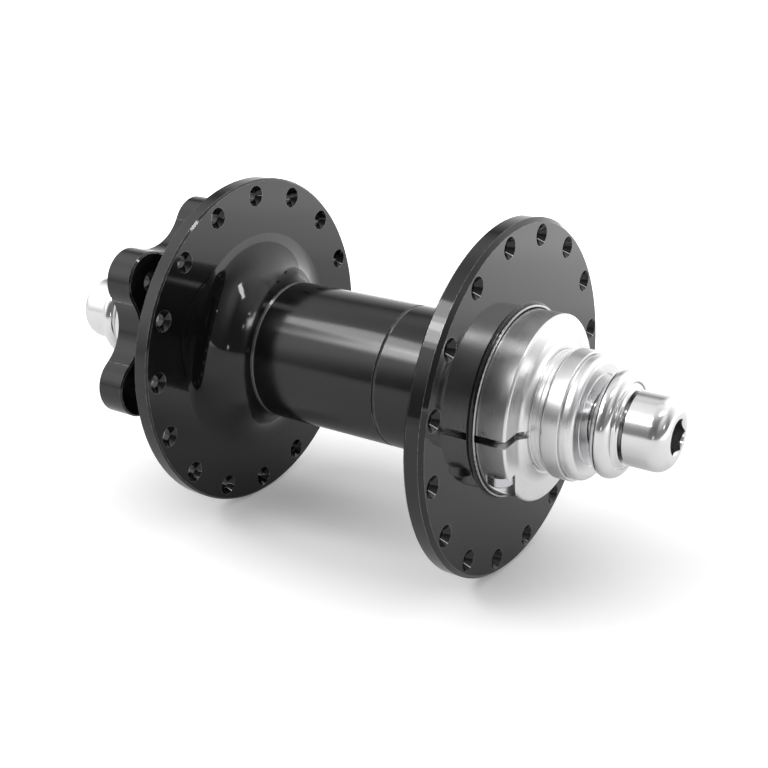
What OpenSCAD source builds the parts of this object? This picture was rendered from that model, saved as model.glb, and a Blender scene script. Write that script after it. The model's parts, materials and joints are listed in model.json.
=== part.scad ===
// Disc brake front hub, in millimetres.
// The axle lies along Y with the rotor side at +Y, +X points forward and +Z up.
// The origin is on the axle, midway between the two faces that the fork ends rest on.
// Left is the rotor side, as the rider sees it, and right is the plain side.
// Screw threads are drawn as plain cylinders, with shallow grooves where their turns show.

/* [Axle] */
// Distance between the two fork end faces
fork_width = 110; // [108:0.5:116]
// Outside diameter of the axle tube, which is the bore of the bearings
axle_d = 17; // [16.5:0.1:17.5]
// Height of the axle's shoulder behind the left bearing
axle_shoulder_h = 1.1; // [0.8:0.1:1.3]
// Width of that shoulder
axle_shoulder_w = 4; // [2:0.5:10]
// Bore through the middle of the axle
axle_bore_d = 7; // [5:0.5:8.5]
// Depth of the tapped hole at each end of the axle
tap_depth = 24; // [22:1:30]
// Depth of the wider mouth of that hole
mouth_depth = 4; // [2:0.5:8]
// Radial step from the tapped hole out to its mouth
mouth_step = 0.15; // [0.1:0.05:0.4]

/* [Axle bolts] */
// Diameter of the bolt shank, three eighths of an inch
bolt_d = 9.525; // [9:0.025:10]
// Length of thread inside the axle at rest
thread_hold = 20; // [14:1:21]
// Diameter of the bolt head
head_d = 13.9; // [12.5:0.1:16]
// Length of the bolt head
head_l = 7.95; // [7:0.05:10]
// Radius of the round at the head's outer edge
head_round = 3; // [1:0.25:3.25]
// Gap between the head and its washer
head_gap = 0.45; // [0.2:0.05:1.5]
// Width across the flats of the hexagon socket
socket_af = 6; // [5:0.5:7]
// Depth of the hexagon socket
socket_depth = 5.5; // [3:0.5:6]
// Chamfer at the socket's mouth
socket_chamfer = 0.4; // [0.2:0.05:0.6]
// Chamfer at the shank's inner end
shank_chamfer = 0.8; // [0.3:0.1:1.5]

/* [Washers] */
// Outside diameter of the washer's rounded rim
washer_d = 20.1; // [18:0.1:24]
// Thickness of the rim, which is also twice its rounding radius
rim_t = 3.9; // [3.5:0.1:4.2]
// Full thickness of the washer with its neck
washer_t = 4.65; // [4.3:0.05:6]
// Diameter of the neck that faces the bolt head
washer_neck_d = 14.4; // [13:0.1:15]
// Gap between the axle's end and the washer at rest
washer_gap = 1.95; // [1.65:0.05:5]

/* [Bearings] */
// Outside diameter of a bearing
bearing_d = 26; // [25.6:0.1:26.6]
// Width of a bearing
bearing_w = 5; // [4.8:0.1:6]
// Diameter of a ball
ball_d = 2.778; // [2.6:0.01:2.8]
// Number of balls in a bearing
ball_count = 13; // [10:1:15]
// Radial step of each race shoulder from the ball circle
race_step = 0.8; // [0.7:0.05:0.9]
// Thickness of a bearing seal
seal_t = 0.5; // [0.3:0.05:0.55]
// Depth of a seal below the bearing's face
seal_inset = 0.15; // [0.05:0.05:0.2]
// Radial step from the outer race's shoulder out to the seal's seat
seal_seat_step = 0.5; // [0.3:0.05:0.7]
// Gap between the outboard seal and the ball cage
cage_inset = 0.15; // [0.1:0.05:0.3]
// Reach of the cage past the middle of the balls
cage_reach = 0.5; // [0.2:0.1:0.7]
// Radial gap between the cage and the race shoulders
cage_gap = 0.2; // [0.1:0.05:0.3]
// Radial gap between a ball and its pocket in the cage
pocket_gap = 0.15; // [0.1:0.05:0.25]

/* [Shell] */
// Diameter of the spoke flanges
flange_d = 69; // [66:0.5:74]
// Thickness of a spoke flange
flange_t = 3.8; // [2.8:0.1:4.4]
// Distance from the left fork end face to the middle of the left flange
left_flange_inset = 29.7; // [28:0.1:33]
// Distance from the right fork end face to the middle of the right flange
right_flange_inset = 18.3; // [17.2:0.1:21]
// Wall of the barrel around a space as wide as the bearings
barrel_wall = 1.25; // [1:0.05:2.5]
// Wall of the barrel sleeve, where it is bonded over the two shell halves
sleeve_wall = 1.65; // [1.2:0.05:2]
// Wall of the halves' spigots inside that sleeve
spigot_wall = 1.3; // [1:0.05:1.6]
// Plain length between the left seam and its cove
seam_lead = 0.5; // [0.4:0.1:5]
// Length of the neck between the right seam and its flange
right_neck_l = 19.8; // [10:0.2:24]
// Chamfer on both sides of a seam
seam_chamfer = 0.35; // [0.1:0.05:0.6]
// Radius of the cove between the barrel and the left flange
left_cove_r = 8.9; // [6:0.1:9.6]
// Radius of the cove between the barrel and the right flange
right_cove_r = 4; // [1:0.5:8]
// Chamfer on the inboard edges of the flanges
edge_chamfer = 0.35; // [0.1:0.05:0.6]
// Chamfer on the outboard edges of the flanges
rim_chamfer = 0.8; // [0.3:0.05:1]

/* [Spoke holes] */
// Number of spoke holes in each flange
spokes_per_side = 16; // [12:2:18]
// Distance from the flange's rim to the circle of spoke holes
spoke_edge = 3.25; // [2.8:0.05:4]
// Diameter of a spoke hole
spoke_hole_d = 2.6; // [2.2:0.1:2.8]
// Outside diameter of its countersinks
countersink_d = 4.2; // [3.2:0.1:4.4]
// Depth of its countersinks
countersink_depth = 1.3; // [0.5:0.1:1.3]
// Angle of the first hole in the right flange
first_spoke_angle = 10.5; // [0:0.5:22]

/* [Rotor mount] */
// Diameter of the rotor's bolt circle
rotor_circle_d = 44; // [42:0.5:46]
// Number of rotor bolts
rotor_bolts = 6; // [5:1:6]
// Diameter of the tapped rotor bolt holes
rotor_hole_d = 4.2; // [3.4:0.1:5]
// Distance from the rotor's face to the left fork end face
rotor_inset = 10.5; // [9.5:0.1:12]
// Thickness of the star that carries the rotor
star_t = 6.5; // [5:0.1:8]
// Radius of a lobe of the star
lobe_r = 6.3; // [5.5:0.1:6.8]
// Depth of a scallop inside the rotor's bolt circle
scallop_in = 1; // [0.2:0.1:2]
// Angle of the first lobe
lobe_angle = 78; // [0:1:90]
// Diameter of the round pilot inside the rotor
pilot_d = 34; // [33:0.5:36]
// Height of the pilot above the rotor's face
pilot_h = 1.8; // [1:0.1:2.2]
// Diameter of the neck between the left flange and the star
neck_d = 35; // [32:0.5:38]
// Radius of the coves at both ends of that neck
neck_cove_r = 3; // [1:0.5:4]

/* [Right end] */
// Height of the shell's lip around the preload collar
lip_h = 0.8; // [0.5:0.1:1.6]
// Thickness of that lip
lip_t = 0.4; // [0.3:0.05:0.8]
// Radial reach of the cove between the lip and the flange
lip_cove_w = 0.5; // [0.3:0.1:2]
// Depth of the right bearing below the flange's outer face
right_bearing_inset = 1.7; // [1.4:0.1:2.4]
// Outside diameter of the preload collar
collar_d = 35.5; // [33:0.5:37]
// Distance from the flange to the collar's flat face
collar_reach = 6.7; // [6.4:0.1:7.4]
// Radius of the round at the collar's outer edge
collar_round = 0.45; // [0.2:0.05:1.5]
// Height of the hollow rise from the collar's face to its bore
collar_rise = 1.3; // [0.5:0.1:1.8]
// Radial reach of that rise
collar_rise_w = 2; // [1:0.1:3]
// Wall left at the top of that rise
collar_top_w = 0.5; // [0.3:0.1:1]
// Length of the thrust ring's boss, between its flange and the bearing
thrust_boss_t = 0.7; // [0.5:0.1:1]
// Thickness of the thrust ring's flange
thrust_flange_t = 0.9; // [0.6:0.1:1.2]
// Distance from the collar's rim in to the rim of that flange
thrust_edge = 3; // [2.5:0.1:4]
// Gap between the thrust ring and the inner end of the right end sleeve
sleeve_gap = 2.5; // [2:0.1:4]
// Thread diameter of the right end sleeve
sleeve_thread_d = 23; // [22.4:0.1:23.4]
// Distance between thread turns
sleeve_pitch = 1; // [0.8:0.1:1.25]
// Width of the slit through the collar
slit_w = 1.45; // [0.6:0.05:2]
// Angle of the slit
slit_angle = 184; // [170:1:190]

/* [Pinch screw] */
// Diameter of the pinch screw
screw_d = 3; // [2.5:0.1:3.2]
// Diameter of its head
screw_head_d = 4.8; // [4.4:0.1:5.2]
// Length of its head
screw_head_l = 2; // [1.6:0.1:2.6]
// Distance from the collar's rim in to the screw's axis
screw_depth = 3.15; // [2.9:0.05:3.6]
// Distance from the screw's axis to the collar's flat face
screw_below_face = 2.6; // [2.2:0.1:3.2]
// Depth of the head's seat inside the collar's rim, along the screw
head_sink = 2.7; // [2.3:0.1:3.6]
// Reach of the thread past the slit
screw_hold = 6.2; // [4:0.1:6.2]
// Width across the flats of its socket
screw_af = 2.5; // [2:0.1:3]
// Chamfer on its head
screw_chamfer = 0.3; // [0.1:0.05:0.5]
// Play around the head and past the screw's end
head_play = 0.3; // [0.2:0.05:0.5]

/* [End rings] */
// Radial step of the outer ring above the sleeve's thread
outer_ring_step = 0.15; // [0:0.05:0.6]
// Width of the outer ring
outer_ring_w = 2.1; // [1.6:0.1:3]
// Radius of the round at the ring's end edge
end_round = 1.3; // [0.5:0.1:1.5]
// Radial step of the inner ring above the sleeve's thread
inner_ring_step = 0.7; // [0.65:0.05:1.5]
// Width of the inner ring
inner_ring_w = 3.3; // [2.5:0.1:3.6]
// Width of the groove between the two rings
ring_groove_w = 0.35; // [0.2:0.05:0.6]
// Depth of that groove
ring_groove_depth = 0.3; // [0.1:0.05:0.5]
// Width of the relief groove behind the inner ring
relief_w = 0.45; // [0.3:0.05:0.8]
// Depth of the relief groove
relief_depth = 0.7; // [0.3:0.05:1]

/* [Left end] */
// Depth of the left bearing below the pilot's end
left_bearing_inset = 0.7; // [0.5:0.1:1.5]
// Diameter of the dust cap over the left bearing
dust_cap_d = 32.6; // [30:0.2:33]
// Thickness of the dust cap
dust_cap_t = 0.8; // [0.5:0.1:1]
// Diameter of the sleeve's boss inside the dust cap
cap_boss_d = 20; // [19.4:0.1:20.4]

/* [Clearances] */
// Radial clearance of a thread or a running fit
running_gap = 0.05; // [0.02:0.01:0.09]
// Clearance of a ball in its race
ball_play = 0.04; // [0.02:0.01:0.08]
// Gap between covers that turn past each other
cover_gap = 0.3; // [0.2:0.05:0.4]
// Gap behind the thrust ring's flange
thrust_gap = 0.4; // [0.3:0.05:0.5]
// Radial gap between the collar and the shell's lip
lip_gap = 0.3; // [0.2:0.05:0.6]
// Small chamfer where two pieces meet flush
joint_chamfer = 0.18; // [0.05:0.01:0.3]

/* [Hidden] */
$fn = 96;
overrun = 1;                      // how far a cut runs past the face that it opens
blend_lead = 0.5;                 // how far the star's disc stays inside its outline

// Places along the axle, measured outwards from the centre on each side
end_at = fork_width / 2;
flange_r = flange_d / 2;
left_flange_at = end_at - left_flange_inset;
right_flange_at = end_at - right_flange_inset;
left_flange_in = left_flange_at - flange_t / 2;
left_flange_out = left_flange_at + flange_t / 2;
right_flange_in = right_flange_at - flange_t / 2;
right_flange_out = right_flange_at + flange_t / 2;
rotor_face_at = end_at - rotor_inset;
star_in = rotor_face_at - star_t;
pilot_end = rotor_face_at + pilot_h;
left_bearing_out = pilot_end - left_bearing_inset;
right_bearing_out = right_flange_out - right_bearing_inset;
left_seam_at = left_flange_in - left_cove_r - seam_lead;
right_seam_at = right_flange_in - right_neck_l;

// Radii of the shell, built up from the bearings outwards and then in again
barrel_r = bearing_d / 2 + barrel_wall;
spigot_r = barrel_r - sleeve_wall;
shell_bore_r = spigot_r - spigot_wall;
spoke_circle_r = flange_r - spoke_edge;

// Radii of the races, on the circle that the ball centres run on
ball_circle_r = (axle_d + bearing_d) / 4;
groove_r = ball_d / 2 + ball_play;
inner_race_r = ball_circle_r - race_step;
outer_race_r = ball_circle_r + race_step;
seal_seat_r = outer_race_r + seal_seat_step;
seal_reach = seal_inset + seal_t;

// Scallops that run smoothly into the lobes of the star
half_pitch = 180 / rotor_bolts;
bolt_circle_r = rotor_circle_d / 2;
scallop_at = bolt_circle_r - scallop_in;
scallop_less_lobe = scallop_at - lobe_r;
scallop_centre_r = (pow(bolt_circle_r, 2) - pow(scallop_less_lobe, 2))
                   / (2 * (bolt_circle_r * cos(half_pitch) - scallop_less_lobe));
scallop_r = scallop_centre_r - scallop_at;
lobe_to_scallop = lobe_r + scallop_r;
blend_r = norm([bolt_circle_r, 0] + lobe_r / lobe_to_scallop
               * [scallop_centre_r * cos(half_pitch) - bolt_circle_r,
                  scallop_centre_r * sin(half_pitch)]);
star_disc_r = blend_r - blend_lead;

// Right end: the collar, its thrust ring and the thread that it runs on
thread_r = sleeve_thread_d / 2;
outer_ring_r = thread_r + outer_ring_step;
inner_ring_r = thread_r + inner_ring_step;
collar_r = collar_d / 2;
collar_bore_r = thread_r + running_gap;
collar_face_at = right_flange_out + collar_reach;
collar_top_at = collar_face_at + collar_rise;
thrust_flange_at = right_bearing_out + thrust_boss_t;
collar_in_at = thrust_flange_at + thrust_flange_t;
counterbore_at = thrust_flange_at - thrust_gap;
counterbore_r = collar_r + lip_gap;
lip_cove_h = min(lip_cove_w, lip_h - lip_t / 2);
sleeve_in_at = collar_in_at + sleeve_gap;
ring_back = outer_ring_w + ring_groove_w + inner_ring_w + relief_w;

// Left end: the sleeve's boss reaches the bearing through the dust cap
cap_in_at = pilot_end + cover_gap;
cap_out_at = cap_in_at + dust_cap_t;

// Tapped holes and screws
shank_r = bolt_d / 2;
tap_r = shank_r + running_gap;
mouth_r = tap_r + mouth_step;
head_at = washer_gap + washer_t + head_gap;
tip_at = head_at + head_l;
screw_r = screw_d / 2;
screw_at = collar_r - screw_depth;
screw_seat = sqrt(pow(collar_r, 2) - pow(screw_at, 2)) - head_sink;
screw_y = collar_face_at - screw_below_face;

// Puts the Z axis of what it holds along +Y
module along_axle() rotate([-90, 0, 0]) children();

// Turns a profile of radius and place along Y about the axle
module turned() along_axle() rotate_extrude() children();

// Turns what it holds about the axle, from +X towards +Z
module clocked(angle) rotate([0, -angle, 0]) children();

// Places a piece that is drawn for the left side on the right side
module on_right() rotate([0, 0, 180]) children();

// Cylinder along the axle from one place to another
module rod(from, to, r) translate([0, from, 0]) along_axle() cylinder(h = to - from, r = r);

// Profile of a plain ring
module band(r_in, r_out, from, to) translate([r_in, from]) square([r_out - r_in, to - from]);

// Cuts a chamfer at a corner of a profile; dr and dy point from the corner into the solid
module chamfer_cut(r, y, size, dr, dy) polygon([
    [r - dr * overrun, y - dy * overrun],
    [r + dr * (size + overrun), y - dy * overrun],
    [r - dr * overrun, y + dy * (size + overrun)]]);

// Cuts a round at a corner of a profile, in the same way
module round_cut(r, y, size, dr, dy) difference() {
    translate([r + dr * (size - overrun) / 2, y + dy * (size - overrun) / 2])
        square(size + overrun, center = true);
    translate([r + dr * size, y + dy * size]) circle(size);
}

// Profile of a hollow rise on a face at y: w wide, h high at its inner radius
module rise(r, y, w, h, dy) {
    rise_r = (w * w + h * h) / (2 * h);
    difference() {
        translate([r, min(y, y + dy * h)]) square([w, h]);
        translate([r + w, y + dy * rise_r]) circle(rise_r);
    }
}

// Profile of a flange disc with chamfered edges, its outboard face at to
module flange_profile(from, to, r_in) difference() {
    band(r_in, flange_r, from, to);
    chamfer_cut(flange_r, from, edge_chamfer, -1, 1);
    chamfer_cut(flange_r, to, rim_chamfer, -1, -1);
}

// Ring of spoke holes through a flange, countersunk from both faces
module spoke_holes(from, to, first_angle) {
    slope = (countersink_d - spoke_hole_d) / 2 / countersink_depth;
    mouth_r = countersink_d / 2 + overrun * slope;
    for (k = [0 : spokes_per_side - 1])
        clocked(first_angle + k * 360 / spokes_per_side) translate([spoke_circle_r, 0, 0]) {
            rod(from - overrun, to + overrun, spoke_hole_d / 2);
            translate([0, from - overrun, 0]) along_axle()
                cylinder(h = countersink_depth + overrun, r1 = mouth_r, r2 = spoke_hole_d / 2);
            translate([0, to - countersink_depth, 0]) along_axle()
                cylinder(h = countersink_depth + overrun, r1 = spoke_hole_d / 2, r2 = mouth_r);
        }
}

// Star that carries the rotor: lobes joined by scallops, with chamfered edges
module star() {
    difference() {
        union() {
            rod(star_in, rotor_face_at, star_disc_r);
            for (k = [0 : rotor_bolts - 1])
                clocked(lobe_angle + k * 2 * half_pitch) translate([bolt_circle_r, 0, 0]) turned()
                    difference() {
                        band(0, lobe_r, star_in, rotor_face_at);
                        chamfer_cut(lobe_r, star_in, edge_chamfer, -1, 1);
                        chamfer_cut(lobe_r, rotor_face_at, edge_chamfer, -1, -1);
                    }
        }
        for (k = [0 : rotor_bolts - 1])
            clocked(lobe_angle + (2 * k + 1) * half_pitch) translate([scallop_centre_r, 0, 0]) turned()
                union() {
                    band(0, scallop_r, star_in - overrun, rotor_face_at + overrun);
                    polygon([[0, star_in - overrun], [scallop_r + edge_chamfer + overrun, star_in - overrun],
                             [scallop_r, star_in + edge_chamfer], [0, star_in + edge_chamfer]]);
                    polygon([[0, rotor_face_at + overrun],
                             [scallop_r + edge_chamfer + overrun, rotor_face_at + overrun],
                             [scallop_r, rotor_face_at - edge_chamfer], [0, rotor_face_at - edge_chamfer]]);
                }
    }
}

// Tapped holes for the rotor bolts, with small countersinks
module rotor_holes() {
    for (k = [0 : rotor_bolts - 1])
        clocked(lobe_angle + k * 2 * half_pitch) translate([bolt_circle_r, 0, 0]) {
            rod(star_in - overrun, rotor_face_at + overrun, rotor_hole_d / 2);
            translate([0, rotor_face_at - edge_chamfer, 0]) along_axle()
                cylinder(h = edge_chamfer + overrun, r1 = rotor_hole_d / 2,
                         r2 = rotor_hole_d / 2 + edge_chamfer + overrun);
        }
}

// Left half of the shell: spigot, bell, flange, neck, star and pilot in one piece
module left_shell() color([0.05, 0.05, 0.055]) difference() {
    union() {
        turned() difference() {
            union() {
                band(0, spigot_r, 0, left_flange_out);
                difference() {
                    band(0, barrel_r, left_seam_at, left_flange_out);
                    chamfer_cut(barrel_r, left_seam_at, seam_chamfer, -1, 1);
                }
                rise(barrel_r, left_flange_in, left_cove_r, left_cove_r, -1);
                flange_profile(left_flange_in, left_flange_out, 0);
                band(0, neck_d / 2, left_flange_at, rotor_face_at);
                rise(neck_d / 2, left_flange_out, neck_cove_r, neck_cove_r, 1);
                rise(neck_d / 2, star_in, neck_cove_r, neck_cove_r, -1);
                difference() {
                    band(0, pilot_d / 2, rotor_face_at, pilot_end);
                    chamfer_cut(pilot_d / 2, pilot_end, edge_chamfer, -1, -1);
                }
            }
            band(0, shell_bore_r, -overrun, pilot_end + overrun);
            band(0, bearing_d / 2, left_bearing_out - bearing_w, pilot_end + overrun);
            chamfer_cut(bearing_d / 2, pilot_end, edge_chamfer, 1, -1);
        }
        difference() {
            star();
            rod(star_in - overrun, rotor_face_at + overrun, neck_d / 2 - overrun);
        }
    }
    rotor_holes();
    spoke_holes(left_flange_in, left_flange_out, first_spoke_angle + 180 / spokes_per_side);
}

// Barrel sleeve, bonded over the spigots of the two halves
module barrel_sleeve() color([0.06, 0.06, 0.065]) turned() difference() {
    band(spigot_r, barrel_r, -right_seam_at, left_seam_at);
    chamfer_cut(barrel_r, -right_seam_at, seam_chamfer, -1, 1);
    chamfer_cut(barrel_r, left_seam_at, seam_chamfer, -1, -1);
}

// Right half of the shell: spigot, neck, flange and the lip around the collar
module right_shell() color([0.05, 0.05, 0.055]) difference() {
    on_right() turned() difference() {
        union() {
            band(0, spigot_r, 0, right_flange_out);
            difference() {
                band(0, barrel_r, right_seam_at, right_flange_out);
                chamfer_cut(barrel_r, right_seam_at, seam_chamfer, -1, 1);
            }
            rise(barrel_r, right_flange_in, right_cove_r, right_cove_r, -1);
            flange_profile(right_flange_in, right_flange_out, 0);
            difference() {
                band(counterbore_r, counterbore_r + lip_t, right_flange_at, right_flange_out + lip_h);
                round_cut(counterbore_r + lip_t, right_flange_out + lip_h, lip_t / 2, -1, -1);
            }
            rise(counterbore_r + lip_t, right_flange_out, lip_cove_w, lip_cove_h, 1);
        }
        band(0, shell_bore_r, -overrun, right_flange_out + overrun);
        band(0, bearing_d / 2, right_bearing_out - bearing_w, right_flange_out + overrun);
        band(0, counterbore_r, counterbore_at, right_flange_out + lip_h + overrun);
    }
    spoke_holes(-right_flange_out, -right_flange_in, first_spoke_angle);
}

// Bearing pieces, drawn about the middle of the bearing at y
module outer_race(y) color([0.62, 0.63, 0.65]) turned() difference() {
    band(outer_race_r, bearing_d / 2, y - bearing_w / 2, y + bearing_w / 2);
    translate([ball_circle_r, y]) circle(groove_r);
    band(0, seal_seat_r, y - bearing_w / 2 - overrun, y - bearing_w / 2 + seal_reach);
    band(0, seal_seat_r, y + bearing_w / 2 - seal_reach, y + bearing_w / 2 + overrun);
}

module inner_race(y) color([0.66, 0.67, 0.69]) turned() difference() {
    band(axle_d / 2, inner_race_r, y - bearing_w / 2, y + bearing_w / 2);
    translate([ball_circle_r, y]) circle(groove_r);
}

module bearing_seal(y, side) color([0.08, 0.08, 0.09]) turned() {
    middle = y + side * (bearing_w / 2 - seal_inset - seal_t / 2);
    band(inner_race_r + running_gap, seal_seat_r, middle - seal_t / 2, middle + seal_t / 2);
}

// Places a copy at each ball's centre
module at_balls(y) for (k = [0 : ball_count - 1])
    clocked(k * 360 / ball_count) translate([ball_circle_r, y, 0]) children();

module balls(y) color([0.75, 0.76, 0.78]) at_balls(y) sphere(ball_d / 2);

// Snap-in cage: a ring behind the balls with a pocket bored for each
module ball_cage(y) color([0.25, 0.22, 0.18]) difference() {
    turned() band(inner_race_r + cage_gap, outer_race_r - cage_gap,
                  y - bearing_w / 2 + seal_reach + cage_inset, y + cage_reach);
    at_balls(y) rotate([0, 90, 0]) cylinder(h = ball_d * 2, r = ball_d / 2 + pocket_gap, center = true);
}

left_bearing_y = left_bearing_out - bearing_w / 2;
right_bearing_y = -(right_bearing_out - bearing_w / 2);

module left_outer_race() outer_race(left_bearing_y);
module right_outer_race() outer_race(right_bearing_y);
module left_outboard_seal() bearing_seal(left_bearing_y, 1);
module left_inboard_seal() bearing_seal(left_bearing_y, -1);
module right_outboard_seal() bearing_seal(right_bearing_y, -1);
module right_inboard_seal() bearing_seal(right_bearing_y, 1);
module left_balls() balls(left_bearing_y);
module right_balls() balls(right_bearing_y);
module left_ball_cage() ball_cage(left_bearing_y);
module right_ball_cage() ball_cage(right_bearing_y);
module left_inner_race() inner_race(left_bearing_y);
module right_inner_race() inner_race(right_bearing_y);

// Cuts the tapped hole and the edges of the axle's end
module axle_end_cut() {
    band(0, tap_r, end_at - tap_depth, end_at + overrun);
    band(0, mouth_r, end_at - mouth_depth, end_at + overrun);
    chamfer_cut(mouth_r, end_at, joint_chamfer, 1, -1);
    chamfer_cut(axle_d / 2, end_at, joint_chamfer, -1, -1);
}

// Axle tube, tapped at both ends, with a shoulder for the left bearing
module axle() color([0.7, 0.7, 0.72]) turned() difference() {
    union() {
        band(0, axle_d / 2, -end_at, end_at);
        band(0, axle_d / 2 + axle_shoulder_h, left_bearing_out - bearing_w - axle_shoulder_w,
             left_bearing_out - bearing_w);
    }
    band(0, axle_bore_d / 2, -end_at - overrun, end_at + overrun);
    axle_end_cut();
    mirror([0, 1]) axle_end_cut();
}

// Profile of the two rings at the end of an end sleeve, with the grooves behind them
module end_rings_cut() {
    band(outer_ring_r, inner_ring_r + overrun, end_at - outer_ring_w, end_at + overrun);
    band(outer_ring_r - ring_groove_depth, inner_ring_r + overrun,
         end_at - outer_ring_w - ring_groove_w, end_at - outer_ring_w);
    band(thread_r - relief_depth, inner_ring_r + overrun, end_at - ring_back,
         end_at - ring_back + relief_w);
    round_cut(outer_ring_r, end_at, end_round, -1, -1);
    round_cut(inner_ring_r, end_at - outer_ring_w - ring_groove_w, joint_chamfer, -1, -1);
    round_cut(inner_ring_r, end_at - ring_back + relief_w, joint_chamfer * 2, -1, 1);
    chamfer_cut(axle_d / 2, end_at, joint_chamfer, 1, -1);
}

// Left end sleeve: rings, then a body and a boss that holds the inner race
module left_end_sleeve() color([0.82, 0.82, 0.84]) turned() difference() {
    union() {
        band(axle_d / 2, cap_boss_d / 2, left_bearing_out, end_at);
        band(axle_d / 2, thread_r, cap_out_at, end_at);
        band(axle_d / 2, inner_ring_r, end_at - ring_back, end_at);
    }
    end_rings_cut();
    band(inner_race_r, cap_boss_d, left_bearing_out - overrun, left_bearing_out + cover_gap);
}

// Dust cap over the left bearing, held by the left end sleeve
module left_dust_cap() color([0.55, 0.56, 0.58]) turned() difference() {
    band(cap_boss_d / 2, dust_cap_d / 2, cap_in_at, cap_out_at);
    chamfer_cut(dust_cap_d / 2, cap_out_at, joint_chamfer, -1, -1);
}

// Right end sleeve: rings, then the thread that the preload collar runs on
module right_end_sleeve() color([0.84, 0.84, 0.86]) on_right() turned() difference() {
    union() {
        band(axle_d / 2, thread_r, sleeve_in_at, end_at);
        band(axle_d / 2, inner_ring_r, end_at - ring_back, end_at);
    }
    end_rings_cut();
    for (y = [sleeve_in_at + sleeve_pitch : sleeve_pitch : end_at - ring_back - sleeve_pitch / 4])
        polygon([[thread_r + sleeve_pitch / 4, y - sleeve_pitch / 3],
                 [thread_r - sleeve_pitch / 6, y],
                 [thread_r + sleeve_pitch / 4, y + sleeve_pitch / 3]]);
    chamfer_cut(thread_r, sleeve_in_at, joint_chamfer * 2, -1, 1);
}

// Stepped ring that carries the collar's push to the right inner race
module thrust_ring() color([0.6, 0.61, 0.63]) on_right() turned() {
    band(axle_d / 2 + running_gap, inner_race_r, right_bearing_out, collar_in_at);
    band(axle_d / 2 + running_gap, collar_r - thrust_edge, thrust_flange_at, collar_in_at);
}

// Places the pinch screw's parts: x outwards to the slit, z along the screw towards its head
module at_pinch_screw() clocked(slit_angle) translate([screw_at, -screw_y, 0]) children();

// Preload collar: a threaded ring, split at one side and drawn shut by the pinch screw
module preload_collar() color([0.85, 0.85, 0.87]) difference() {
    on_right() turned() {
        difference() {
            band(collar_bore_r, collar_r, collar_in_at, collar_face_at);
            round_cut(collar_r, collar_face_at, collar_round, -1, -1);
            chamfer_cut(collar_r, collar_in_at, joint_chamfer, -1, 1);
        }
        band(collar_bore_r, collar_bore_r + collar_top_w, collar_face_at - overrun, collar_top_at);
        rise(collar_bore_r + collar_top_w, collar_face_at, collar_rise_w, collar_rise, 1);
    }
    clocked(slit_angle) translate([thread_r - overrun, -collar_top_at - overrun, -slit_w / 2])
        cube([collar_r - thread_r + 2 * overrun, collar_top_at - collar_in_at + 2 * overrun, slit_w]);
    at_pinch_screw() {
        translate([0, 0, screw_seat]) cylinder(h = collar_r, r = screw_head_d / 2 + head_play);
        cylinder(h = screw_seat + overrun, r = screw_r + running_gap * 2);
        translate([0, 0, -screw_hold - head_play])
            cylinder(h = screw_hold + head_play + overrun, r = screw_r + running_gap);
    }
}

// Pinch screw with a round head and a hexagon socket
module pinch_screw() color([0.5, 0.5, 0.52]) at_pinch_screw() difference() {
    union() {
        translate([0, 0, screw_seat]) rotate_extrude() difference() {
            square([screw_head_d / 2, screw_head_l]);
            chamfer_cut(screw_head_d / 2, screw_head_l, screw_chamfer, -1, -1);
        }
        translate([0, 0, -screw_hold]) cylinder(h = screw_hold + screw_seat, r = screw_r);
    }
    translate([0, 0, screw_seat + screw_head_l / 2])
        cylinder(h = screw_head_l, r = screw_af / 2 / cos(30), $fn = 6);
}

// Washer with a rounded rim and a hollow neck towards the bolt head
module washer() color([0.83, 0.83, 0.85]) turned() {
    rim_r = rim_t / 2;
    near = end_at + washer_gap;
    far = near + washer_t;
    difference() {
        union() {
            band(0, washer_d / 2 - rim_r, near, near + rim_t);
            translate([washer_d / 2 - rim_r, near + rim_r]) circle(rim_r);
            band(0, washer_neck_d / 2, near, far);
            rise(washer_neck_d / 2, near + rim_t, far - near - rim_t, far - near - rim_t, 1);
        }
        band(-overrun, tap_r, near - overrun, far + overrun);
        chamfer_cut(tap_r, near, joint_chamfer, 1, 1);
        chamfer_cut(washer_neck_d / 2, far, joint_chamfer, -1, -1);
    }
}

module left_washer() washer();
module right_washer() on_right() washer();

// Axle bolt with a long rounded head and a hexagon socket
module axle_bolt() color([0.85, 0.85, 0.87]) difference() {
    turned() difference() {
        union() {
            band(0, shank_r, end_at - thread_hold, end_at + head_at + overrun);
            band(0, head_d / 2, end_at + head_at, end_at + tip_at);
        }
        round_cut(head_d / 2, end_at + tip_at, head_round, -1, -1);
        chamfer_cut(head_d / 2, end_at + head_at, joint_chamfer * 2, -1, 1);
        chamfer_cut(shank_r, end_at - thread_hold, shank_chamfer, -1, 1);
    }
    translate([0, end_at + tip_at - socket_depth, 0]) along_axle()
        cylinder(h = socket_depth + overrun, r = socket_af / 2 / cos(30), $fn = 6);
    translate([0, end_at + tip_at - socket_chamfer, 0]) along_axle()
        cylinder(h = socket_chamfer + overrun, r1 = socket_af / 2,
                 r2 = socket_af / 2 + socket_chamfer + overrun);
}

module left_axle_bolt() axle_bolt();
module right_axle_bolt() on_right() axle_bolt();

left_shell();
barrel_sleeve();
right_shell();
left_outer_race();
right_outer_race();
left_outboard_seal();
left_inboard_seal();
right_outboard_seal();
right_inboard_seal();
left_balls();
right_balls();
left_ball_cage();
right_ball_cage();
left_inner_race();
right_inner_race();
axle();
left_end_sleeve();
left_dust_cap();
right_end_sleeve();
thrust_ring();
preload_collar();
pinch_screw();
left_washer();
right_washer();
left_axle_bolt();
right_axle_bolt();
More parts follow.
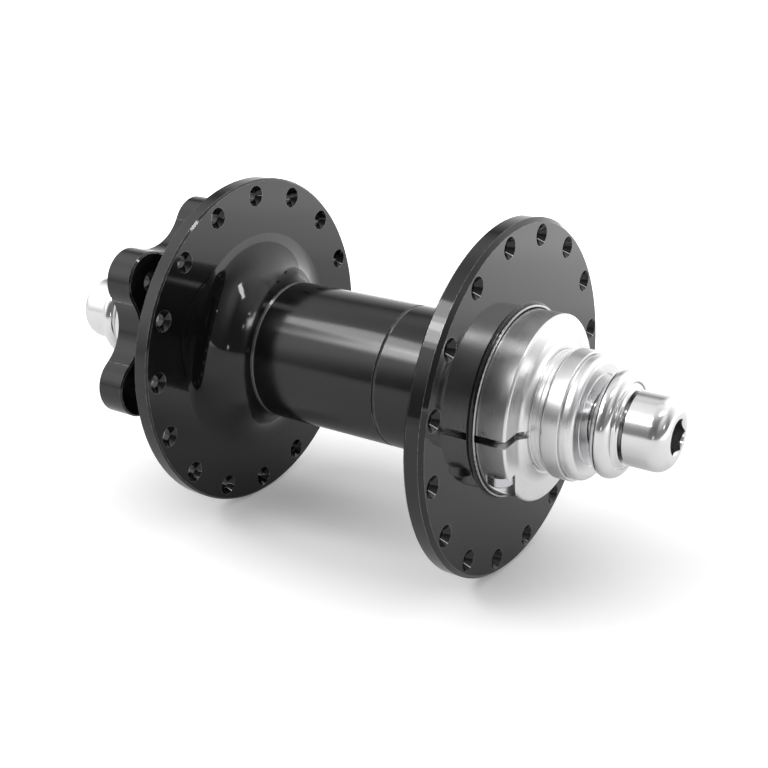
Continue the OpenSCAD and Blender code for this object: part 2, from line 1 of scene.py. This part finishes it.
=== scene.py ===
"""Looks of the disc brake front hub: camera, studio light, materials and fine surface marks.

Everything is in metres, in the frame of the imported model: the axle lies along Y with the rotor
at +Y, +X points forward and +Z up. The materials' own measures are in millimetres.
"""
import json

import bpy
from mathutils import Matrix, Vector

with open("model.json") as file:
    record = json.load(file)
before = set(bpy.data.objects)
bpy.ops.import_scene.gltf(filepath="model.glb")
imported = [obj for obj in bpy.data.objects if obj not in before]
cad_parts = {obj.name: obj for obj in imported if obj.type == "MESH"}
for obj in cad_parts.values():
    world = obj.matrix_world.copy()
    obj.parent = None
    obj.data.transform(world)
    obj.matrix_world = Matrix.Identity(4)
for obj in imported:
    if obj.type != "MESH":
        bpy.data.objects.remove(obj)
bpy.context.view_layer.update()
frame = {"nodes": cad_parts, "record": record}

MM = 0.001
MM_PER_METRE = 1000.0
UP = (0.0, 0.0, 1.0)
WHITE = (1.0, 1.0, 1.0, 1.0)

# Camera, fitted to the photograph
CAMERA_AT = Vector((-201.20, -141.67, 89.20)) * MM
CAMERA_FORWARD = Vector((0.77858, 0.51626, -0.35678))
CAMERA_RIGHT = Vector((0.55265, -0.83341, 0.0))
LENS = 60.36
SENSOR = 36.0
NEAREST, FARTHEST = 0.01, 50.0

# Floor, on which the flanges stand
FLANGE_R = 34.5 * MM
FLOOR_SIZE = 12.0
FLOOR_WHITE = 0.88

# Its glow for the camera, by the distance from the hub in units of GLOW_REACH. It is weakest at
# the hub's foot, which paints a shadow there on top of the cast one, and brings the rest to
# white.
GLOW_REACH = 150 * MM
GLOW_SHAPE = (1.0, 0.45, 0.0)
GLOW_AND_PAINTED_SHADOW = [(0.0, 0.04), (0.04, 0.07), (0.09, 0.18), (0.13, 0.18), (0.19, 0.28), (0.3, 0.46),
        (1.0, 1.0)]

# Its glow in glossy surfaces, by the distance towards GLOSSY_SIDE in units of GLOSSY_REACH
GLOSSY_REACH = 300 * MM
GLOSSY_SIDE = (0.8, -0.6, 0.0)
GLOSSY = [(0.0, 0.0), (0.08, 0.04), (0.2, 0.11), (0.5, 0.18), (0.58, 0.32), (0.64, 0.58),
          (0.8, 0.9), (0.9, 1.3)]

# Room, as grey by the height of a direction from level to upright: beyond the hub, on the
# camera's side, in the dark behind the camera, and on the rotor's and the collar's side
FAR_SIDE = (0.84, 0.54, 0.0)
LEFT_SIDE = (-0.54, 0.84, 0.0)
FAR_ROOM = [(0.0, 1.1), (0.2, 0.95), (0.42, 0.6), (0.58, 0.2), (0.68, 0.6), (0.78, 0.9),
            (0.87, 0.7), (0.94, 1.05), (1.0, 0.9)]
NEAR_ROOM = [(0.0, 0.2), (0.3, 0.28), (0.5, 0.55), (0.62, 0.95), (0.78, 1.5), (0.87, 1.3),
             (1.0, 0.9)]
DARK_ROOM = [(0.0, 0.15), (0.6, 0.17), (0.8, 0.3), (0.9, 0.6), (1.0, 0.9)]
LEFT_ROOM = [(0.0, 0.8), (0.15, 1.2), (0.3, 1.7), (0.5, 1.8), (0.65, 1.5), (0.75, 1.5),
             (0.87, 1.2), (1.0, 0.9)]
RIGHT_ROOM = [(0.0, 1.3), (0.4, 1.35), (0.8, 1.6), (1.0, 1.1)]

# Where each of them begins or ends, by the part of a direction along FAR_SIDE or LEFT_SIDE
FAR_BEGINS = (-0.25, 0.35)
DARK_ENDS = (-0.25, 0.1)
DARK_ACROSS = (-0.2, 0.3, 0.25)  # middle, half width and softness along Y
LEFT_BEYOND = (-0.44, -0.3)
LEFT_BEGINS = (0.3, 0.6)
RIGHT_BEYOND = (-0.2, 0.35)
RIGHT_ENDS = (-0.45, -0.2)

# Lights: name, direction, distance, size, watts, what the long side follows, and whether
# matt surfaces are lit too. The strip and the small lamps make the highlights in the bell.
LEVEL = (0.0, 0.0, 0.0)
LIGHTS = [
    ("upper_left", (-0.60, 0.36, 0.72), 0.6, (0.24, 0.11), 0.42, LEVEL, True),
    ("upper_left_edge", (-0.60, 0.36, 0.72), 0.62, (0.32, 0.18), 0.5, LEVEL, True),
    ("upper_left_spill", (-0.36, 0.47, 0.81), 0.63, (0.26, 0.14), 0.56, LEVEL, False),
    ("strip", (0.0, -0.52, 0.854), 0.6, (0.3, 0.06), 0.7, (-0.38, 0.33, 0.19), False),
]
LAMPS = [(-0.11, -0.95, 0.3), (-0.49, 0.11, 0.86), (-0.77, 0.05, 0.63), (-0.91, -0.4, 0.1)]
LAMP_REACH = 0.6
LAMP_SIZE = (0.03, 0.03)
LAMP_POWER = 0.03

# Noises of a surface: scale to the mm, detail and roughness. The scale of the lathe marks is
# the material's pitch, and along a turn it is LATHE_ALONG to the radian.
CLOUDS = (0.16, 3.0, 0.55)
SCRATCHES = (3.5, 2.0, 0.6)
PATCHES = (0.9, 3.0, 0.65)
LATHE_DETAIL, LATHE_ROUGH = 3.0, 0.6
LATHE_ALONG = 0.5
MIDDLE_VALUES = (0.3, 0.7)  # the noise values that are spread over the whole effect
CLOUD_SHARE, LATHE_SHARE = 0.6, 0.4

# Edges worn to metal, which on the black anodising also paint a highlight: their width, how sharp
# an edge is where wear begins and is full, and its patches
EDGE_REACH = 0.22
EDGE_SHARPNESS = (0.012, 0.12)
EDGE_SAMPLES = 6
EDGE_PATCH_LEAST = 0.15
PATCH_VALUES = (0.38, 0.6)

# How softly the rings of painted highlight end along Y and outwards, and the waist's finish goes
# into the rest
HIGHLIGHT_RING_SOFT_Y, HIGHLIGHT_RING_SOFT_R = 0.06, 0.05
WAIST_SOFT = 2.0

# Painted highlights on the shell, as bare-metal rings on the lip's end and the seams: share,
# place along Y, half width, least and largest radius
LIP_PAINTED_HIGHLIGHT = (0.8, -39.4, 0.12, 18.0, 18.5)
SEAM_PAINTED_HIGHLIGHTS = ((0.2, 14.0, 0.15, 13.85, 14.3), (0.2, -15.0, 0.15, 13.85, 14.3))

IOR = 1.5
PLAIN_LOOK = dict(marks=0.0006, pitch=5.0, cloud=0.25, tint=0.06, grain=0.0, wear_and_highlight_share=0.35,
                  worn_and_highlit=(0.85, 0.85, 0.86), worn_and_highlit_rough=0.22, worn_and_highlit_metal=1.0, waist_r=0.0, painted_highlight_rings=())
LOOKS = {
    # On the black anodising the worn edges also paint a highlight, and bare-metal rings paint one
    # on the lip's end and the seams.
    "black_anodised": dict(
        colour=(0.0055, 0.0055, 0.006), metallic=0.0, rough=0.065, marks=0.0001, pitch=3.0,
        tint=0.12, wear_and_highlight_share=0.6, worn_and_highlit=(0.62, 0.62, 0.63), waist=0.14, waist_r=14.4,
        painted_highlight_rings=(LIP_PAINTED_HIGHLIGHT, *SEAM_PAINTED_HIGHLIGHTS)),
    "turned_aluminium": dict(
        colour=(0.79, 0.79, 0.795), metallic=1.0, rough=0.32, marks=0.0007, pitch=4.0,
        tint=0.03, wear_and_highlight_share=0.5, worn_and_highlit=(0.86, 0.86, 0.865)),
    "plain_aluminium": dict(
        colour=(0.74, 0.74, 0.75), metallic=1.0, rough=0.28, marks=0.0014, pitch=6.0),
    "plated_steel": dict(
        colour=(0.76, 0.76, 0.765), metallic=1.0, rough=0.17, marks=0.0003, pitch=3.0,
        tint=0.03, wear_and_highlight_share=0.3, worn_and_highlit_rough=0.16),
    "bearing_steel": dict(colour=(0.68, 0.69, 0.7), metallic=1.0, rough=0.18, pitch=7.0),
    "screw_steel": dict(
        colour=(0.6, 0.6, 0.62), metallic=1.0, rough=0.2, marks=0.0008, grain=0.3),
    "seal_rubber": dict(
        colour=(0.02, 0.02, 0.022), metallic=0.0, rough=0.55, marks=0.003, grain=1.0,
        worn_and_highlit=(0.06, 0.06, 0.065), worn_and_highlit_rough=0.7, worn_and_highlit_metal=0.0),
    "cage_plastic": dict(
        colour=(0.2, 0.17, 0.12), metallic=0.0, rough=0.45, marks=0.003, grain=1.0,
        worn_and_highlit=(0.3, 0.26, 0.2), worn_and_highlit_rough=0.6, worn_and_highlit_metal=0.0),
}


def make_camera():
    forward = CAMERA_FORWARD.normalized()
    right = CAMERA_RIGHT.normalized()
    up = right.cross(forward)
    data = bpy.data.cameras.new("camera")
    data.lens, data.sensor_width = LENS, SENSOR
    data.clip_start, data.clip_end = NEAREST, FARTHEST
    camera = bpy.data.objects.new("camera", data)
    bpy.context.scene.collection.objects.link(camera)
    turn = Matrix((right, up, -forward)).transposed()
    camera.matrix_world = Matrix.Translation(CAMERA_AT) @ turn.to_4x4()
    bpy.context.scene.camera = camera


class Nodes:
    """Short names for building a node tree."""

    def __init__(self, tree):
        self.tree = tree
        tree.nodes.clear()

    def add(self, kind, inputs=None, **settings):
        """A new node; each input is a constant or the socket that it is linked to."""
        node = self.tree.nodes.new(kind)
        for key, value in settings.items():
            setattr(node, key, value)
        for key, value in (inputs or {}).items():
            if isinstance(value, bpy.types.NodeSocket):
                self.tree.links.new(value, node.inputs[key])
            else:
                node.inputs[key].default_value = value
        return node

    def math(self, operation, a, b=0.0):
        return self.add("ShaderNodeMath", {0: a, 1: b}, operation=operation).outputs[0]

    def product(self, a, b):
        return self.math("MULTIPLY", a, b)

    def dot(self, a, b):
        node = self.add("ShaderNodeVectorMath", {0: a, 1: b}, operation="DOT_PRODUCT")
        return node.outputs["Value"]

    def length(self, vector):
        node = self.add("ShaderNodeVectorMath", {0: vector}, operation="LENGTH")
        return node.outputs["Value"]

    def split(self, vector):
        return self.add("ShaderNodeSeparateXYZ", {0: vector}).outputs

    def join(self, x=0.0, y=0.0, z=0.0):
        return self.add("ShaderNodeCombineXYZ", {0: x, 1: y, 2: z}).outputs[0]

    def noise(self, vector, scale, detail, rough):
        return self.add("ShaderNodeTexNoise", {"Vector": vector, "Scale": scale, "Detail": detail,
                                               "Roughness": rough}).outputs["Fac"]

    def spread(self, value, low, high, from_low=0.0, from_high=1.0):
        """low to high as value goes from from_low to from_high, and level beyond."""
        return self.add("ShaderNodeMapRange", {
            "Value": value, "From Min": from_low, "From Max": from_high,
            "To Min": low, "To Max": high}).outputs["Result"]

    def near(self, value, middle, half, soft):
        """1 where value is within half of middle, falling to 0 over soft."""
        off = self.math("ABSOLUTE", self.math("SUBTRACT", value, middle))
        return self.spread(off, 1.0, 0.0, half, half + soft)

    def mix_values(self, factor, a, b):
        """The Mix node's sockets for numbers are 2 and 3, and its result is 0."""
        return self.add("ShaderNodeMix", {"Factor": factor, 2: a, 3: b}).outputs[0]

    def mix_colours(self, factor, a, b):
        """The Mix node's sockets for colours are 6 and 7, and its result is 2."""
        return self.add("ShaderNodeMix", {"Factor": factor, 6: a, 7: b},
                        data_type="RGBA").outputs[2]

    def greys(self, value, stops):
        """The grey at value on a ramp of rows (place, grey)."""
        node = self.add("ShaderNodeValToRGB", {"Fac": value})
        ramp = node.color_ramp
        while len(ramp.elements) < len(stops):
            ramp.elements.new(0.5)
        for element, (place, grey) in zip(ramp.elements, stops):
            element.position = place
            element.color = (grey, grey, grey, 1.0)
        return node.outputs["Color"]


def edge_wear_and_highlight(n, spot):
    """1 along sharp outer edges, broken up by a noise."""
    bevel = n.add("ShaderNodeBevel", {"Radius": EDGE_REACH * MM}, samples=EDGE_SAMPLES)
    true_normal = n.add("ShaderNodeNewGeometry").outputs["Normal"]
    alike = n.dot(bevel.outputs["Normal"], true_normal)
    sharp = n.spread(n.math("SUBTRACT", 1.0, alike), 0.0, 1.0, *EDGE_SHARPNESS)
    return n.product(sharp, n.spread(n.noise(spot, *PATCHES), EDGE_PATCH_LEAST, 1.0, *PATCH_VALUES))


def make_material(name, colour, metallic, rough, **looks):
    """A machined surface with lathe marks, soft cloudiness, fine scratches, and edges worn to
    metal which on the black anodising also paint a highlight.

    marks: depth of the lathe marks in mm; pitch: how many to the mm; tint and cloud: how much
    the colour and the roughness vary; grain: share of the scratches; wear_and_highlight_share:
    how much the edges are worn to the worn_and_highlit colour, which on the black anodising also
    paints
    a highlight along them; waist: roughness inside the radius waist_r in mm;
    painted_highlight_rings:
    rows of (share, place along Y, half width, least radius, largest radius) in mm where
    bare-metal rings paint a highlight.
    """
    look = dict(PLAIN_LOOK, waist=rough)
    look.update(looks)
    made = bpy.data.materials.new(name)
    made.use_nodes = True
    n = Nodes(made.node_tree)
    place = n.add("ShaderNodeTexCoord").outputs["Object"]
    spot = n.add("ShaderNodeVectorMath", {0: place, "Scale": MM_PER_METRE}, operation="SCALE")
    spot = spot.outputs["Vector"]
    x, y, z = n.split(spot)
    radius = n.length(n.join(x=x, z=z))
    turned = n.join(radius, y, n.product(n.math("ARCTAN2", z, x), LATHE_ALONG))
    lathe = n.noise(turned, look["pitch"], LATHE_DETAIL, LATHE_ROUGH)
    cloudy = n.noise(spot, *CLOUDS)
    scratched = n.noise(spot, *SCRATCHES)

    dark = (*(c * (1 - look["tint"]) for c in colour), 1.0)
    light = (*(min(1.0, c * (1 + look["tint"])) for c in colour), 1.0)
    shade = n.mix_colours(n.spread(cloudy, 0.0, 1.0, *MIDDLE_VALUES), dark, light)
    mixed = n.math("ADD", n.product(cloudy, CLOUD_SHARE), n.product(lathe, LATHE_SHARE))
    vary = n.spread(mixed, 1 - look["cloud"], 1 + look["cloud"], *MIDDLE_VALUES)
    waist_r = look["waist_r"]
    base_rough = n.spread(radius, look["waist"], rough, waist_r, waist_r + WAIST_SOFT)
    roughness = n.product(base_rough, vary)

    # Edges worn to metal, which on the black anodising also paint a highlight along them.
    worn_and_highlit = n.product(edge_wear_and_highlight(n, spot), look["wear_and_highlight_share"])
    # Bare-metal rings that paint a highlight on the lip's end and on the seams.
    for share, middle, half, least, largest in look["painted_highlight_rings"]:
        band = n.near(y, middle, half, HIGHLIGHT_RING_SOFT_Y)
        ring = n.near(radius, (least + largest) / 2, (largest - least) / 2, HIGHLIGHT_RING_SOFT_R)
        worn_and_highlit = n.math("MAXIMUM", worn_and_highlit, n.product(n.product(band, ring), share))
    metal = look["worn_and_highlit_metal"]
    if metallic != metal:
        metal = n.spread(worn_and_highlit, metallic, metal)
    height = n.math("ADD", lathe, n.product(scratched, look["grain"]))
    bump = n.add("ShaderNodeBump", {"Strength": 1.0, "Distance": look["marks"] * MM,
                                    "Height": height})
    shader = n.add("ShaderNodeBsdfPrincipled", {
        "Base Color": n.mix_colours(worn_and_highlit, shade, (*look["worn_and_highlit"], 1.0)),
        "Metallic": metal,
        "Roughness": n.mix_values(worn_and_highlit, roughness, look["worn_and_highlit_rough"]),
        "Normal": bump.outputs["Normal"], "IOR": IOR})
    n.add("ShaderNodeOutputMaterial", {"Surface": shader.outputs[0]})
    return made


def make_world():
    """White beyond the hub and on its left, dark behind the camera up to the ceiling's light."""
    world = bpy.data.worlds.new("studio")
    bpy.context.scene.world = world
    world.use_nodes = True
    n = Nodes(world.node_tree)
    camera_ray = n.add("ShaderNodeLightPath").outputs["Is Camera Ray"]
    direction = n.add("ShaderNodeTexCoord").outputs["Generated"]
    _, across, height = n.split(direction)
    far = n.dot(direction, FAR_SIDE)
    left = n.dot(direction, LEFT_SIDE)
    room = n.mix_colours(n.spread(far, 0.0, 1.0, *FAR_BEGINS), n.greys(height, NEAR_ROOM),
                         n.greys(height, FAR_ROOM))
    zones = [
        (n.spread(far, 1.0, 0.0, *DARK_ENDS), n.near(across, *DARK_ACROSS), DARK_ROOM),
        (n.spread(far, 0.0, 1.0, *LEFT_BEYOND), n.spread(left, 0.0, 1.0, *LEFT_BEGINS),
         LEFT_ROOM),
        (n.spread(far, 0.0, 1.0, *RIGHT_BEYOND), n.spread(left, 1.0, 0.0, *RIGHT_ENDS),
         RIGHT_ROOM),
    ]
    for in_depth, sideways, stops in zones:
        room = n.mix_colours(n.product(in_depth, sideways), room, n.greys(height, stops))
    shown = n.mix_colours(camera_ray, room, WHITE)
    background = n.add("ShaderNodeBackground", {"Color": shown, "Strength": 1.0})
    n.add("ShaderNodeOutputWorld", {"Surface": background.outputs[0]})


def make_floor():
    """A white floor that keeps the hub's cast shadow and glows towards white away from it; the
    weak glow near its foot paints shadow there too.
    """
    half = FLOOR_SIZE / 2
    mesh = bpy.data.meshes.new("floor")
    mesh.from_pydata([(-half, -half, -FLANGE_R), (half, -half, -FLANGE_R),
                      (half, half, -FLANGE_R), (-half, half, -FLANGE_R)], [], [(0, 1, 2, 3)])
    floor = bpy.data.objects.new("floor", mesh)
    bpy.context.scene.collection.objects.link(floor)
    made = bpy.data.materials.new("floor_white")
    made.use_nodes = True
    n = Nodes(made.node_tree)
    rays = n.add("ShaderNodeLightPath").outputs
    place = n.add("ShaderNodeTexCoord").outputs["Object"]
    shaped = n.add("ShaderNodeVectorMath", {0: place, 1: GLOW_SHAPE}, operation="MULTIPLY")
    around = n.math("DIVIDE", n.length(shaped.outputs["Vector"]), GLOW_REACH)
    away = n.math("DIVIDE", n.dot(place, GLOSSY_SIDE), GLOSSY_REACH)
    # Little glow near the hub: a painted shadow around its foot.
    for_camera = n.product(rays["Is Camera Ray"], n.greys(around, GLOW_AND_PAINTED_SHADOW))
    for_metal = n.product(rays["Is Glossy Ray"], n.greys(away, GLOSSY))
    lit = n.add("ShaderNodeBsdfDiffuse", {"Color": (*(FLOOR_WHITE,) * 3, 1.0)})
    glow = n.add("ShaderNodeEmission", {"Color": WHITE,
                                        "Strength": n.math("ADD", for_camera, for_metal)})
    both = n.add("ShaderNodeAddShader", {0: lit.outputs[0], 1: glow.outputs[0]})
    n.add("ShaderNodeOutputMaterial", {"Surface": both.outputs[0]})
    mesh.materials.append(made)


def soft_light(name, direction, reach, size, power, along=LEVEL, lights_matt=False):
    """A rectangle turned to the hub, its long side level or as near as it can be to along."""
    data = bpy.data.lights.new(name, "AREA")
    data.shape = "RECTANGLE"
    data.size, data.size_y = size
    data.energy = power
    light = bpy.data.objects.new(name, data)
    bpy.context.scene.collection.objects.link(light)
    light.visible_diffuse = lights_matt
    at = Vector(direction) * reach
    back = at.normalized()
    side = Vector(along) if any(along) else Vector(UP).cross(back)
    side = (side - back * side.dot(back)).normalized()
    turn = Matrix((side, back.cross(side), back)).transposed()
    light.matrix_world = Matrix.Translation(at) @ turn.to_4x4()


def make_lights():
    for row in LIGHTS:
        soft_light(*row)
    for number, direction in enumerate(LAMPS):
        soft_light("lamp_%d" % number, direction, LAMP_REACH, LAMP_SIZE, LAMP_POWER)


def dress_nodes():
    """Give each CAD node the material of its slot in the record."""
    materials = {name: make_material(name, **look) for name, look in LOOKS.items()}
    slots = {part["node"]: part["material_slot"] for part in frame["record"]["subparts"]}
    for name, thing in frame["nodes"].items():
        for slot in thing.material_slots:
            slot.material = materials[slots[name]]


make_camera()
make_world()
make_floor()
make_lights()
dress_nodes()

bpy.context.scene.view_settings.view_transform = "Standard"
